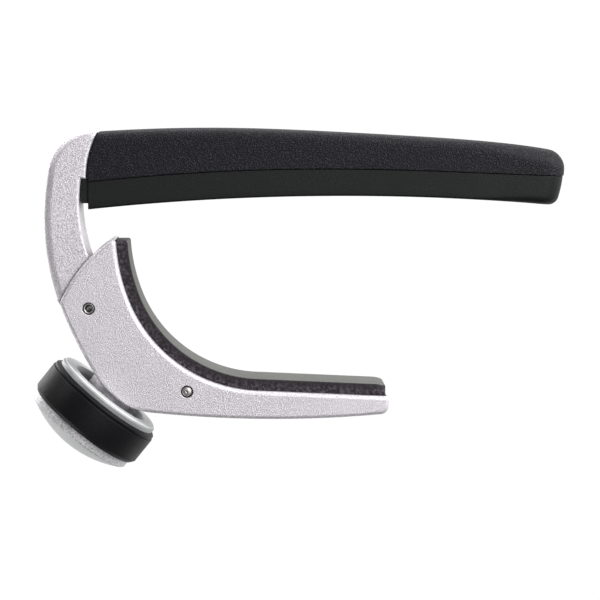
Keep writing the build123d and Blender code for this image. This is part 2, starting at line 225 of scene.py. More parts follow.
class SharedGroups:
    """Shader groups that several finishes use, each built once."""

    def __init__(self) -> None:
        """Build every group."""
        self.speckle = self._speckle()
        self.soft_edge = self._soft_edge()
        self.about_line = self._about_line()
        self.pebble = self._pebble()

    @staticmethod
    def _speckle() -> bpy.types.NodeTree:
        """Fine grains of powder paint. Gives a light and dark mask, bright flakes and a height."""
        graph, given, made = group_tree(
            "fine_speckle", "ShaderNodeTree",
            [("Position", "NodeSocketVector", None), ("Grain", "NodeSocketFloat", 0.00028)],
            [("Mask", "NodeSocketFloat"), ("Flake", "NodeSocketFloat"), ("Height", "NodeSocketFloat")])
        per_metre = graph.maths("DIVIDE", 1.0, given.outputs["Grain"])
        noise = graph.add("ShaderNodeTexNoise", {"Vector": given.outputs["Position"], "Scale": per_metre,
                                                 "Detail": 2.0, "Roughness": 0.6})
        cells = graph.add("ShaderNodeTexVoronoi", {"Vector": given.outputs["Position"],
                                                   "Scale": graph.maths("MULTIPLY", per_metre, 1.15)})
        flake = graph.spread(cells.outputs["Distance"], 0.26, 0.12)
        peel = graph.add("ShaderNodeTexNoise", {"Vector": given.outputs["Position"],
                                                "Scale": graph.maths("MULTIPLY", per_metre, 0.3)})
        mask = graph.spread(noise.outputs[0], 0.36, 0.64)
        height = graph.maths("ADD", mask, graph.maths("MULTIPLY", peel.outputs[0], 1.6))
        graph.fill(made, {"Mask": mask, "Flake": flake, "Height": height})
        return graph.tree

    @staticmethod
    def _soft_edge() -> bpy.types.NodeTree:
        """Rounded normals at sharp edges and a mask of where the edges are."""
        graph, given, made = group_tree(
            "soft_edge", "ShaderNodeTree", [("Radius", "NodeSocketFloat", 0.0002)],
            [("Normal", "NodeSocketVector"), ("Edge", "NodeSocketFloat")])
        bevel = graph.add("ShaderNodeBevel", {"Radius": given.outputs["Radius"]}, samples=6)
        flat = graph.add("ShaderNodeNewGeometry")
        along = graph.vector("DOT_PRODUCT", bevel.outputs[0], flat.outputs["Normal"], out="Value")
        edge = graph.spread(along, 0.995, 0.86)
        graph.fill(made, {"Normal": bevel.outputs[0], "Edge": edge})
        return graph.tree

    @staticmethod
    def _about_line() -> bpy.types.NodeTree:
        """Distance from a line, place along it and turn around it."""
        graph, given, made = group_tree(
            "about_line", "ShaderNodeTree",
            [("Position", "NodeSocketVector", None), ("Origin", "NodeSocketVector", (0, 0, 0)),
             ("Axis", "NodeSocketVector", (0, 0, 1))],
            [("Radius", "NodeSocketFloat"), ("Along", "NodeSocketFloat"), ("Turn", "NodeSocketFloat")])
        out = graph.vector("SUBTRACT", given.outputs["Position"], given.outputs["Origin"])
        along = graph.vector("DOT_PRODUCT", out, given.outputs["Axis"], out="Value")
        step = graph.add("ShaderNodeVectorMath", {0: given.outputs["Axis"], "Scale": along}, operation="SCALE")
        across = graph.vector("SUBTRACT", out, step.outputs[0])
        radius = graph.vector("LENGTH", across, out="Value")
        sideways = graph.add("ShaderNodeSeparateXYZ", {0: across}).outputs["Y"]
        turn = graph.maths("ARCCOSINE", graph.maths("DIVIDE", sideways, graph.maths("ADD", radius, 1e-6)))
        graph.fill(made, {"Radius": radius, "Along": along, "Turn": turn})
        return graph.tree

    @staticmethod
    def _pebble() -> bpy.types.NodeTree:
        """Small raised cells of a leather-grained mould."""
        graph, given, made = group_tree(
            "pebble_grain", "ShaderNodeTree",
            [("Position", "NodeSocketVector", None), ("Cell", "NodeSocketFloat", 0.00045)],
            [("Mask", "NodeSocketFloat"), ("Height", "NodeSocketFloat")])
        per_metre = graph.maths("DIVIDE", 1.0, given.outputs["Cell"])
        warp = graph.add("ShaderNodeTexNoise", {"Vector": given.outputs["Position"],
                                                "Scale": graph.maths("MULTIPLY", per_metre, 0.7)})
        pull = graph.add("ShaderNodeVectorMath", {0: warp.outputs["Color"], "Scale": 0.00035}, operation="SCALE")
        bent = graph.vector("ADD", given.outputs["Position"], pull.outputs[0])
        cells = graph.add("ShaderNodeTexVoronoi", {"Vector": bent, "Scale": per_metre, "Smoothness": 0.3},
                          feature="SMOOTH_F1")
        fine = graph.add("ShaderNodeTexNoise", {"Vector": bent, "Scale": graph.maths("MULTIPLY", per_metre, 3.2),
                                                "Detail": 2.0})
        dome = graph.spread(cells.outputs["Distance"], 0.75, 0.1, kind="SMOOTHSTEP")
        height = graph.maths("ADD", dome, graph.maths("MULTIPLY", fine.outputs[0], 0.55))
        mask = graph.spread(graph.maths("MULTIPLY", dome, fine.outputs[0]), 0.36, 0.62)
        graph.fill(made, {"Mask": mask, "Height": height})
        return graph.tree


# ---------------------------------------------------------------- finishes


class Finish:
    """Base of every finish: a material whose graph starts from Object coordinates."""

    def start(self, name: str, groups: SharedGroups, edge: float) -> tuple[Graph, Socket, bpy.types.Node]:
        """Begin a material.

        Args:
            name: Name of the material.
            groups: Shared shader groups.
            edge: Radius in metres over which sharp edges look rounded.

        Returns:
            The graph, the position socket and the placed soft_edge group.
        """
        self.material = bpy.data.materials.new(name)
        self.material.use_nodes = True
        self.shader = self.material.node_tree.nodes["Principled BSDF"]
        graph = Graph(self.material.node_tree)
        position = graph.add("ShaderNodeTexCoord").outputs["Object"]
        return graph, position, self.place(graph, groups.soft_edge, {"Radius": edge})

    @staticmethod
    def place(graph: Graph, group: bpy.types.NodeTree, inputs: Inputs) -> bpy.types.Node:
        """Put a shared group into a material with its own values.

        Args:
            graph: The material's graph.
            group: The shared group.
            inputs: Values or sockets by the group's input.

        Returns:
            The group's node.
        """
        return graph.add("ShaderNodeGroup", inputs, node_tree=group)

    def plug(self, graph: Graph, height: Socket, distance: float, strength: float, normal: Socket,
             **sockets: Value) -> bpy.types.Material:
        """Join a bump and the named sockets to the shader.

        Args:
            graph: The material's graph.
            height: Socket with the height pattern.
            distance: Depth of the pattern in metres.
            strength: Strength of the bump.
            normal: Normal that the bump starts from.
            sockets: Values or sockets by the shader's input, with _ for a space.

        Returns:
            The finished material.
        """
        bump = graph.add("ShaderNodeBump", {"Height": height, "Distance": distance, "Strength": strength,
                                            "Normal": normal})
        graph.fill(self.shader, {"Normal": bump.outputs[0]})
        graph.fill(self.shader, {name.replace("_", " "): value for name, value in sockets.items()})
        return self.material


@dataclass
class PowderCoat(Finish):
    """Silver powder paint with fine speckle, over a casting.

    Args:
        light: Colour of the light grains.
        dark: Colour of the dark grains.
        metallic: Lowest metallic share, between the flakes.
        grain: Size of the grains in metres.
    """

    light: Colour = (0.86, 0.82, 0.865)
    dark: Colour = (0.46, 0.435, 0.47)
    metallic: float = 0.5
    grain: float = 0.165 * MM

    def make(self, name: str, groups: SharedGroups) -> bpy.types.Material:
        """Build the paint.

        Args:
            name: Name of the material.
            groups: Shared shader groups.

        Returns:
            The material.
        """
        graph, position, edge = self.start(name, groups, 0.2 * MM)
        speckle = self.place(graph, groups.speckle, {"Position": position, "Grain": self.grain})
        drift = graph.add("ShaderNodeTexNoise", {"Vector": position, "Scale": 90.0, "Detail": 3.0})
        paint = graph.mix(speckle.outputs["Mask"], rgba(self.dark), rgba(self.light))
        paint = graph.mix(graph.spread(speckle.outputs["Flake"], 0, 1, 0, 0.35), paint, (0.9, 0.89, 0.9, 1))
        paint = graph.mix(graph.spread(drift.outputs[0], 0.35, 0.7, 0, 0.10), paint, (0.44, 0.43, 0.44, 1))
        # Painted highlight: sharp edges get a lighter colour, as if they caught the lamps.
        paint = graph.mix(graph.maths("MULTIPLY", edge.outputs["Edge"], 0.3), paint, (0.84, 0.83, 0.85, 1))
        # Painted shade: crevices and gaps between parts are darkened by ambient occlusion.
        crevice_shade = graph.add("ShaderNodeAmbientOcclusion", {"Distance": 1.1 * MM}, samples=8).outputs["AO"]
        paint = graph.mix(graph.spread(crevice_shade, 0.72, 0.38, 0, 0.8), paint, (0.05, 0.045, 0.05, 1))
        return self.plug(
            graph, speckle.outputs["Height"], 0.035 * MM, 0.55, edge.outputs["Normal"],
            Base_Color=paint,
            Metallic=graph.spread(speckle.outputs["Flake"], 0, 1, self.metallic, 0.85),
            Roughness=graph.spread(speckle.outputs["Mask"], 0, 1, 0.48, 0.34),
            Coat_Weight=0.25, Coat_Roughness=0.2)


@dataclass
class MouldedRubber(Finish):
    """Black moulded plastic or rubber.

    Args:
        colour: Colour in the hollows.
        grain_and_highlight: Lighter colour mixed in by the grain pattern, also the painted highlight along sharp
            edges.
        grain: How the surface is broken up.
        cell: Size of the grain in metres.
        depth: Depth of the grain in metres.
        roughness: Middle roughness.
        sheen: Strength of the reflection, 0.5 for a clean polished face.
        face: Lighter colour of the neck's contact face, a painted highlight for the light that this up-turned
            face catches, where the piece has one.
    """

    colour: Colour = (0.016, 0.0155, 0.018)
    grain_and_highlight: Colour = (0.05, 0.047, 0.058)
    grain: Grain = Grain.SMOOTH
    cell: float = 0.45 * MM
    depth: float = 0.06 * MM
    roughness: float = 0.55
    sheen: float = 0.25
    face: Colour | None = None

    def make(self, name: str, groups: SharedGroups) -> bpy.types.Material:
        """Build the moulding.

        Args:
            name: Name of the material.
            groups: Shared shader groups.

        Returns:
            The material.
        """
        graph, position, edge = self.start(name, groups, 0.1 * MM)
        pebble = self.place(graph, groups.pebble, {"Position": position, "Cell": self.cell})
        cloud = graph.add("ShaderNodeTexNoise", {"Vector": position, "Scale": 160.0, "Detail": 4.0,
                                                 "Roughness": 0.65})
        mask, height = pebble.outputs["Mask"], pebble.outputs["Height"]
        if self.grain is Grain.SMOOTH:
            mask = graph.maths("MULTIPLY", mask, graph.spread(cloud.outputs[0], 0.3, 0.7, 0.1, 0.6))
        if self.grain is Grain.TORN:
            streak = graph.add("ShaderNodeTexNoise", {"Vector": position, "Scale": 1900.0, "Detail": 3.0,
                                                      "Roughness": 0.6, "Distortion": 0.4})
            depth = graph.add("ShaderNodeAttribute", attribute_name="depth").outputs["Fac"]
            mask = graph.maths("MULTIPLY", graph.spread(streak.outputs[0], 0.44, 0.70),
                               graph.spread(depth, 0.05, 0.85, 0.12, 0.95))
            height = graph.maths("ADD", height, graph.maths("MULTIPLY", streak.outputs[0], 2.0))
        colour = graph.mix(mask, rgba(self.colour), rgba(self.grain_and_highlight))
        # Painted highlight: sharp edges get the lighter colour, as if they caught the lamps.
        colour = graph.mix(graph.maths("MULTIPLY", edge.outputs["Edge"], 0.35), colour, rgba(self.grain_and_highlight))
        rough = graph.spread(cloud.outputs[0], 0.3, 0.7, self.roughness - 0.06, self.roughness + 0.08)
        if self.face is not None:
            contact = graph.add("ShaderNodeAttribute", attribute_name="contact").outputs["Fac"]
            # Painted light: the contact face is made lighter, standing for the light that it catches at a
            # grazing view.
            lit_face = graph.mix(graph.spread(cloud.outputs[0], 0.3, 0.7), rgba(self.face),
                             rgba(tuple(1.25 * c for c in self.face)))
            colour = graph.mix(contact, colour, lit_face)
            rough = graph.maths("ADD", rough, graph.maths("MULTIPLY", contact, 0.1))
        return self.plug(graph, height, self.depth, 0.8, edge.outputs["Normal"],
                         Base_Color=colour, Roughness=rough, Specular_IOR_Level=self.sheen)


@dataclass
class TurnedMetal(Finish):
    """Metal worked on a lathe or drawn, with fine rings about a line.

    Args:
        light: Colour of the clean metal.
        dark: Colour in the tool marks.
        roughness: Middle roughness.
        origin: Point on the line, in metres.
        axis: Direction of the line.
        pitch: Distance between tool marks in metres.
        gap_shade_radius: Radius in metres beyond which the groove is painted dark, as the shade in the gap
            around the pin, or None.
        dish: Radius in metres inside which the hollow end is painted dark, as its shade.
    """

    light: Colour = (0.70, 0.69, 0.67)
    dark: Colour = (0.45, 0.44, 0.43)
    roughness: float = 0.3
    origin: Point = (0.0, 0.0, 0.0)
    axis: Point = (0.0, 0.0, 1.0)
    pitch: float = 0.12 * MM
    gap_shade_radius: float | None = None
    dish: float = 0.0

    def make(self, name: str, groups: SharedGroups) -> bpy.types.Material:
        """Build the metal.

        Args:
            name: Name of the material.
            groups: Shared shader groups.

        Returns:
            The material.
        """
        graph, position, edge = self.start(name, groups, 0.08 * MM)
        line = self.place(graph, groups.about_line, {"Position": position, "Origin": self.origin,
                                                     "Axis": self.axis})
        rings = graph.add("ShaderNodeCombineXYZ", {0: line.outputs["Radius"], 1: line.outputs["Along"]})
        marks = graph.add("ShaderNodeTexNoise", {"Vector": rings.outputs[0], "Scale": 1.0 / self.pitch,
                                                 "Detail": 2.0})
        stain = graph.add("ShaderNodeTexNoise", {"Vector": position, "Scale": 700.0, "Detail": 4.0})
        colour = graph.mix(graph.spread(marks.outputs[0], 0.35, 0.65), rgba(self.dark), rgba(self.light))
        colour = graph.mix(graph.spread(stain.outputs[0], 0.55, 0.75, 0, 0.4), colour, rgba(self.dark))
        if self.dish:
            # Painted shade: the hollow end inside the dish radius is darkened.
            hollow = graph.spread(line.outputs["Radius"], self.dish + 0.04 * MM, self.dish - 0.04 * MM, 0, 0.75)
            colour = graph.mix(hollow, colour, (0.06, 0.055, 0.06, 1))
        metallic: Value = 1.0
        if self.gap_shade_radius is not None:
            # Painted shade: the groove between pin and bore is darkened and made non-metallic, standing for the
            # shadow in the gap.
            groove = graph.spread(line.outputs["Radius"], self.gap_shade_radius - 0.02 * MM, self.gap_shade_radius + 0.02 * MM)
            colour = graph.mix(groove, colour, (0.012, 0.010, 0.012, 1))
            metallic = graph.maths("SUBTRACT", 1.0, groove)
        return self.plug(
            graph, marks.outputs[0], 0.012 * MM, 0.5, edge.outputs["Normal"], Base_Color=colour,
            Metallic=metallic,
            Roughness=graph.spread(stain.outputs[0], 0.3, 0.7, self.roughness - 0.06, self.roughness + 0.12))


@dataclass
class KnobMetal(Finish):
    """Knob paint: speckled on the side walls, smooth and satin on the ring face and the dome.

    Args:
        origin: Point on the screw line, in metres.
        axis: Direction of the screw line, away from the jaw.
        wall: Inner radius of the speckled side walls, in metres.
        recess: Radius of the tapered recess, in metres.
        ring_top: Station of the ring face, in metres.
        grain: Size of the speckle's grains, in metres.
        ring_wall: Length of the smooth wall below the ring face and of its fade, in metres.
        recess_end: Stations between which the recess's shade fades out, in metres.
    """

    origin: Point
    axis: Point
    wall: float
    recess: float
    ring_top: float
    grain: float = 0.27 * MM
    ring_wall: tuple[float, float] = (1.2 * MM, 0.4 * MM)
    recess_end: tuple[float, float] = (13.0 * MM, 14.5 * MM)

    def make(self, name: str, groups: SharedGroups) -> bpy.types.Material:
        """Build the paint.

        Args:
            name: Name of the material.
            groups: Shared shader groups.

        Returns:
            The material.
        """
        graph, position, edge = self.start(name, groups, 0.12 * MM)
        line = self.place(graph, groups.about_line, {"Position": position, "Origin": self.origin,
                                                     "Axis": self.axis})
        speckle = self.place(graph, groups.speckle, {"Position": position, "Grain": self.grain})
        side = graph.spread(line.outputs["Radius"], self.wall - 0.05 * MM, self.wall + 0.03 * MM)
        rough_paint = graph.mix(speckle.outputs["Mask"], (0.40, 0.39, 0.405, 1), (0.70, 0.685, 0.71, 1))
        smooth_end, fade = self.ring_top + self.ring_wall[0], self.ring_wall[1]
        by_ring = graph.spread(line.outputs["Along"], smooth_end + fade, smooth_end)
        rough_paint = graph.mix(by_ring, rough_paint, (0.30, 0.305, 0.31, 1))
        rings = graph.add("ShaderNodeTexNoise", {
            "Vector": graph.add("ShaderNodeCombineXYZ", {0: line.outputs["Radius"]}).outputs[0],
            "Scale": 4200.0, "Detail": 2.0})
        satin = graph.mix(graph.spread(rings.outputs[0], 0.35, 0.65), (0.62, 0.635, 0.63, 1),
                          (0.70, 0.715, 0.71, 1))
        # Painted shade: the inside of the tapered recess is darkened, fading out further along the screw line.
        recess_shade = graph.maths("MULTIPLY",
                           graph.spread(line.outputs["Radius"], self.recess + 0.02 * MM, self.recess - 0.1 * MM),
                           graph.spread(line.outputs["Along"], self.ring_top, self.ring_top + 0.9 * MM))
        shaded, clear = self.recess_end
        recess_shade = graph.maths("MULTIPLY", recess_shade, graph.spread(line.outputs["Along"], clear, shaded))
        satin = graph.mix(recess_shade, satin, (0.16, 0.165, 0.17, 1))
        paint = graph.mix(side, satin, rough_paint)
        # Painted highlight: sharp edges get a lighter colour, as if they caught the lamps.
        paint = graph.mix(graph.maths("MULTIPLY", edge.outputs["Edge"], 0.35), paint, (0.86, 0.87, 0.87, 1))
        bumpy = graph.maths("MULTIPLY", side, graph.spread(by_ring, 0, 1, 1, 0.3))
        height = graph.maths("ADD", graph.maths("MULTIPLY", bumpy, speckle.outputs["Height"]),
                             graph.maths("MULTIPLY", rings.outputs[0], 0.12))
        return self.plug(
            graph, height, 0.05 * MM, 0.6, edge.outputs["Normal"], Base_Color=paint,
            Metallic=graph.spread(speckle.outputs["Flake"], 0, 1, 0.3, 0.6),
            Roughness=graph.spread(side, 0, 1, 0.42, 0.36), Coat_Weight=0.1, Coat_Roughness=0.25)


# ---------------------------------------------------------------- mesh helpers


def make_piece(name: str, corners: Sequence[Point], faces: Sequence[Sequence[int]],
               sharp: float = 40.0) -> bpy.types.Object:
    """Make a closed mesh piece with outward faces.

    Args:
        name: Name of the piece.
        corners: Vertices in millimetres.
        faces: Vertex numbers of each face.
        sharp: Angle in degrees past which an edge stays sharp.

    Returns:
        The new object, at the origin.
    """
    mesh = bpy.data.meshes.new(name)
    mesh.from_pydata([Vector(c) * MM for c in corners], [], faces)
    return finish_mesh(name, mesh, sharp)


def finish_mesh(name: str, mesh: bpy.types.Mesh, sharp: float) -> bpy.types.Object:
    """Merge doubles, point the faces outwards, smooth the mesh and link it as an object."""
    shell = bmesh.new()
    shell.from_mesh(mesh)
    bmesh.ops.remove_doubles(shell, verts=shell.verts, dist=1e-7)
    bmesh.ops.dissolve_degenerate(shell, edges=shell.edges, dist=1e-8)
    bmesh.ops.recalc_face_normals(shell, faces=shell.faces)
    shell.to_mesh(mesh)
    shell.free()
    mesh.shade_smooth()
    mesh.set_sharp_from_angle(angle=radians(sharp))
    piece = bpy.data.objects.new(name, mesh)
    bpy.context.scene.collection.objects.link(piece)
    return piece


def soften(piece: bpy.types.Object, width: float, steps: int = 2, angle: float = 50.0) -> None:
    """Round the sharp edges of a piece with a live Bevel.

    Args:
        piece: The object.
        width: Width of the rounding in millimetres.
        steps: Number of segments.
        angle: Angle in degrees past which an edge is rounded.
    """
    bevel = piece.modifiers.new("soft_edges", "BEVEL")
    bevel.width = width * MM
    bevel.segments = steps
    bevel.limit_method = "ANGLE"
    bevel.angle_limit = radians(angle)
    bevel.harden_normals = True


def dress(piece: bpy.types.Object, finish: bpy.types.Material, slot: str, body: Body, *nodes: str) -> None:
    """Give a piece its finish and its body, and let it stand for CAD nodes.

    Args:
        piece: The object.
        finish: Its material.
        slot: Material slot in the record; not used.
        body: Body that it rides on.
        nodes: CAD nodes that it stands for.
    """
    if not piece.data.materials:
        piece.data.materials.append(finish)
    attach(piece, body.value)
    if nodes:
        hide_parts(*nodes)
    LOG.info("%s: %d faces on %s", piece.name, len(piece.data.polygons), body.value)


def curve_through(points: Outline) -> Rule:
    """Smooth curve of the lowest degree that runs through the points."""
    places, values = zip(*points)
    bend = np.poly1d(np.polyfit(places, values, len(points) - 1))
    return lambda place: float(bend(place))


# ---------------------------------------------------------------- geometry node trees


class TurnedTree:
    """Geometry tree that turns a closed profile about a local Z axis."""

    BASE_RADIUS = 20.0 * MM

    def __init__(self) -> None:
        """Build the tree."""
        graph, given, made = group_tree(
            "turned_part", "GeometryNodeTree",
            [("Geometry", "NodeSocketGeometry", None), ("Segments", "NodeSocketInt", 96),
             ("Corner Radius", "NodeSocketFloat", 0.05 * MM), ("Corner Steps", "NodeSocketInt", 3),
             ("Finish", "NodeSocketMaterial", None)],
            [("Geometry", "NodeSocketGeometry")])
        profile = graph.add("GeometryNodeMeshToCurve", {0: given.outputs["Geometry"]})
        rounded = graph.add("GeometryNodeFilletCurve", {
            "Curve": profile.outputs[0], "Count": given.outputs["Corner Steps"],
            "Radius": given.outputs["Corner Radius"], "Limit Radius": True}, mode="POLY")
        path = graph.add("GeometryNodeCurvePrimitiveCircle", {
            "Resolution": given.outputs["Segments"], "Radius": self.BASE_RADIUS})
        body = graph.add("GeometryNodeCurveToMesh", {"Curve": path.outputs[0],
                                                     "Profile Curve": rounded.outputs[0]})
        joined = graph.add("GeometryNodeMergeByDistance", {0: body.outputs[0], "Distance": 1e-6})
        real = graph.add("GeometryNodeRealizeInstances", {0: joined.outputs[0]})
        dressed = graph.add("GeometryNodeSetMaterial", {0: real.outputs[0],
                                                        "Material": given.outputs["Finish"]})
        graph.fill(made, {0: dressed.outputs[0]})
        self.tree = graph.tree

    def turn(self, name: str, profile: Outline, place: Matrix,
             finish: bpy.types.Material, segments: int = 96, corner: float = 0.05,
             steps: int = 3) -> bpy.types.Object:
        """Turn one piece.

        Args:
            name: Name of the piece.
            profile: Radius and height of each corner in millimetres, as a closed outline.
            place: Where the piece's own axis goes.
            finish: Material of the piece.
            segments: Number of facets around.
            corner: Rounding of the outline's corners in millimetres.
            steps: Points on each rounding.

        Returns:
            The piece, at the origin.
        """
        mesh = bpy.data.meshes.new(name + "_profile")
        base = self.BASE_RADIUS
        count = len(profile)
        mesh.from_pydata([(r * MM - base, -h * MM, 0) for r, h in profile],
                         [(k, (k + 1) % count) for k in range(count)], [])
        return evaluate(name, mesh, self.tree, {"Segments": segments, "Corner Radius": corner * MM,
                                                "Corner Steps": steps, "Finish": finish}, place)


class CoilTree:
    """Geometry tree for a wire wound about a local Z axis, with close end turns."""

    def __init__(self) -> None:
        """Build the tree."""
        graph, given, made = group_tree(
            "wound_wire", "GeometryNodeTree",
            [("Geometry", "NodeSocketGeometry", None), ("Turns", "NodeSocketFloat", 6.0),
             ("Mean Radius", "NodeSocketFloat", 2.3 * MM), ("Height", "NodeSocketFloat", 6.0 * MM),
             ("Close Rise", "NodeSocketFloat", 3.0 * MM), ("Wire Radius", "NodeSocketFloat", 0.25 * MM),
             ("Wire Sides", "NodeSocketInt", 10), ("Points", "NodeSocketInt", 200),
             ("Finish", "NodeSocketMaterial", None)],
            [("Geometry", "NodeSocketGeometry")])
        line = graph.add("GeometryNodeCurvePrimitiveLine")
        fine = graph.add("GeometryNodeResampleCurve", {"Curve": line.outputs[0],
                                                       "Count": given.outputs["Points"]})
        share = graph.add("GeometryNodeSplineParameter").outputs["Factor"]
        angle = graph.maths("MULTIPLY", graph.maths("MULTIPLY", share, given.outputs["Turns"]), 2 * pi)
        radius = given.outputs["Mean Radius"]
        open_rise = graph.maths("SUBTRACT", given.outputs["Height"], given.outputs["Close Rise"])
        lift = graph.maths("MULTIPLY", graph.spread(share, 0.13, 0.87, kind="SMOOTHSTEP"), open_rise)
        rise = graph.maths("ADD", graph.maths("MULTIPLY", share, given.outputs["Close Rise"]), lift)
        spot = graph.add("ShaderNodeCombineXYZ", {
            0: graph.maths("MULTIPLY", graph.maths("COSINE", angle), radius),
            1: graph.maths("MULTIPLY", graph.maths("SINE", angle), radius), 2: rise})
        wound = graph.add("GeometryNodeSetPosition", {"Geometry": fine.outputs[0],
                                                      "Position": spot.outputs[0]})
        wire = graph.add("GeometryNodeCurvePrimitiveCircle", {
            "Resolution": given.outputs["Wire Sides"], "Radius": given.outputs["Wire Radius"]})
        body = graph.add("GeometryNodeCurveToMesh", {
            "Curve": wound.outputs[0], "Profile Curve": wire.outputs[0], "Fill Caps": True})
        real = graph.add("GeometryNodeRealizeInstances", {0: body.outputs[0]})
        dressed = graph.add("GeometryNodeSetMaterial", {0: real.outputs[0],
                                                        "Material": given.outputs["Finish"]})
        graph.fill(made, {0: dressed.outputs[0]})
        self.tree = graph.tree

    def wind(self, name: str, place: Matrix, inputs: dict[str, object]) -> bpy.types.Object:
        """Wind one piece with the tree's named inputs."""
        return evaluate(name, bpy.data.meshes.new(name + "_seed"), self.tree, inputs, place)


def evaluate(name: str, seed: bpy.types.Mesh, tree: bpy.types.NodeTree, inputs: dict[str, object],
             place: Matrix) -> bpy.types.Object:
    """Run a geometry tree once and keep its result as a plain mesh.

    Args:
        name: Name of the piece.
        seed: Mesh that the tree starts from.
        tree: The geometry tree.
        inputs: Values by the name of the tree's input.
        place: Matrix put into the vertices.

    Returns:
        The piece, at the origin and without modifiers.
    """
    holder = bpy.data.objects.new(name + "_seed", seed)
    bpy.context.scene.collection.objects.link(holder)
    modifier = holder.modifiers.new("shape", "NODES")
    modifier.node_group = tree
    for socket in tree.interface.items_tree:
        if socket.in_out == "INPUT" and socket.name in inputs:
            modifier[socket.identifier] = inputs[socket.name]
    holder.update_tag()
    graph = bpy.context.evaluated_depsgraph_get()
    mesh = bpy.data.meshes.new_from_object(holder.evaluated_get(graph), depsgraph=graph)
    bpy.data.objects.remove(holder)
    mesh.name = name
    mesh.transform(place)
    return finish_mesh(name, mesh, 35.0)


# ---------------------------------------------------------------- string bar


@dataclass
class BarSkin:
    """One skin of the string bar: walls up from the parting line and a rounded face.

    Args:
        half: Half width along the strings.
        face: Height of the face by X.
        rim: Height of the parting line by X.
        tip: X of the tip by height.
        root: X of the root by height.
        plan_radius: Corner radius of the tip seen from above.
        side_radius: Rounding between wall and face along the sides.
        tip_radius: Rounding between wall and face at the tip.
    """

    half: float
    face: Rule
    rim: Rule
    tip: Rule
    root: Rule
    plan_radius: float
    side_radius: float
    tip_radius: float
    sides: int = 64
    corner: int = 10
    wall: int = 5
    rounding: int = 7
    across: int = 8

    def point(self, station: int, level: int) -> Point:
        """Place of one vertex on the left half.

        Args:
            station: Number of the station from the root round to the tip.
            level: Number of the level from the rim up the wall and over the rounding.

        Returns:
            The place in millimetres.
        """
        turn = max(0, station - self.sides) / self.corner * pi / 2
        bend = max(0, level - self.wall) / self.rounding * pi / 2
        root, tip = self.root(self.rim(0.0)), self.tip(self.rim(30.0))
        centre = tip - self.plan_radius
        x = root + (centre - root) * min(station, self.sides) / self.sides
        near = min(max(1 - (centre - x) / 12, 0.0), 1.0)
        radius = self.side_radius + (self.tip_radius - self.side_radius) * near ** 2 * (3 - 2 * near)
        reach = self.plan_radius - radius * (1 - cos(bend))
        x += reach * sin(turn)
        y = self.half - self.plan_radius + reach * cos(turn)
        side = 1 if self.face(0.0) > self.rim(0.0) else -1
        if level <= self.wall:
            low = self.rim(x)
            z = low + (self.face(x) - side * radius - low) * level / self.wall
        else:
            z = self.face(x) - side * radius * (1 - sin(bend))
        share = (x - root) / (tip - root)
        return (self.root(z) + share * (self.tip(z) - self.root(z)), y, z)

    def grid(self) -> tuple[list[Point], list[list[int]], list[int]]:
        """Vertices, faces and the numbers of the open edge in order."""
        top = self.wall + self.rounding
        rows = self.sides + self.corner + 1
        corners: list[Point] = []
        table: list[list[int]] = []
        for station in range(rows):
            left = [self.point(station, level) for level in range(top + 1)]
            x, y, z = left[-1]
            middle = [(x, y * (1 - 2 * k / self.across), z) for k in range(1, self.across)]
            right = [(px, -py, pz) for px, py, pz in reversed(left)]
            table.append(list(range(len(corners), len(corners) + 2 * (top + 1) + self.across - 1)))
            corners += left + middle + right
        tip = []
        for level in range(top):
            start, end = table[-1][level], table[-1][-1 - level]
            x, y, z = corners[start]
            inner = list(range(len(corners), len(corners) + self.across - 1))
            corners += [(x, y * (1 - 2 * k / self.across), z) for k in range(1, self.across)]
            tip.append([start, *inner, end])
        tip.append(table[-1][top:len(table[-1]) - top])
        faces = [[a[k], a[k + 1], b[k + 1], b[k]] for grid in (table, tip)
                 for a, b in zip(grid, grid[1:]) for k in range(len(a) - 1)]
        edge = [row[0] for row in table] + tip[0][1:-1] + [row[-1] for row in reversed(table)]
        return corners, faces, edge + table[0][-2:0:-1]


def shell_between(name: str, outer: BarSkin, inner: BarSkin) -> bpy.types.Object:
    """Closed wall between an outer skin and the channel inside it."""
    corners, faces, edge = outer.grid()
    inside, inner_faces, inner_edge = inner.grid()
    shift = len(corners)
    faces += [[shift + k for k in reversed(f)] for f in inner_faces]
    for k, start in enumerate(edge):
        after = (k + 1) % len(edge)
        faces.append([start, edge[after], shift + inner_edge[after], shift + inner_edge[k]])
    return make_piece(name, corners + inside, faces)


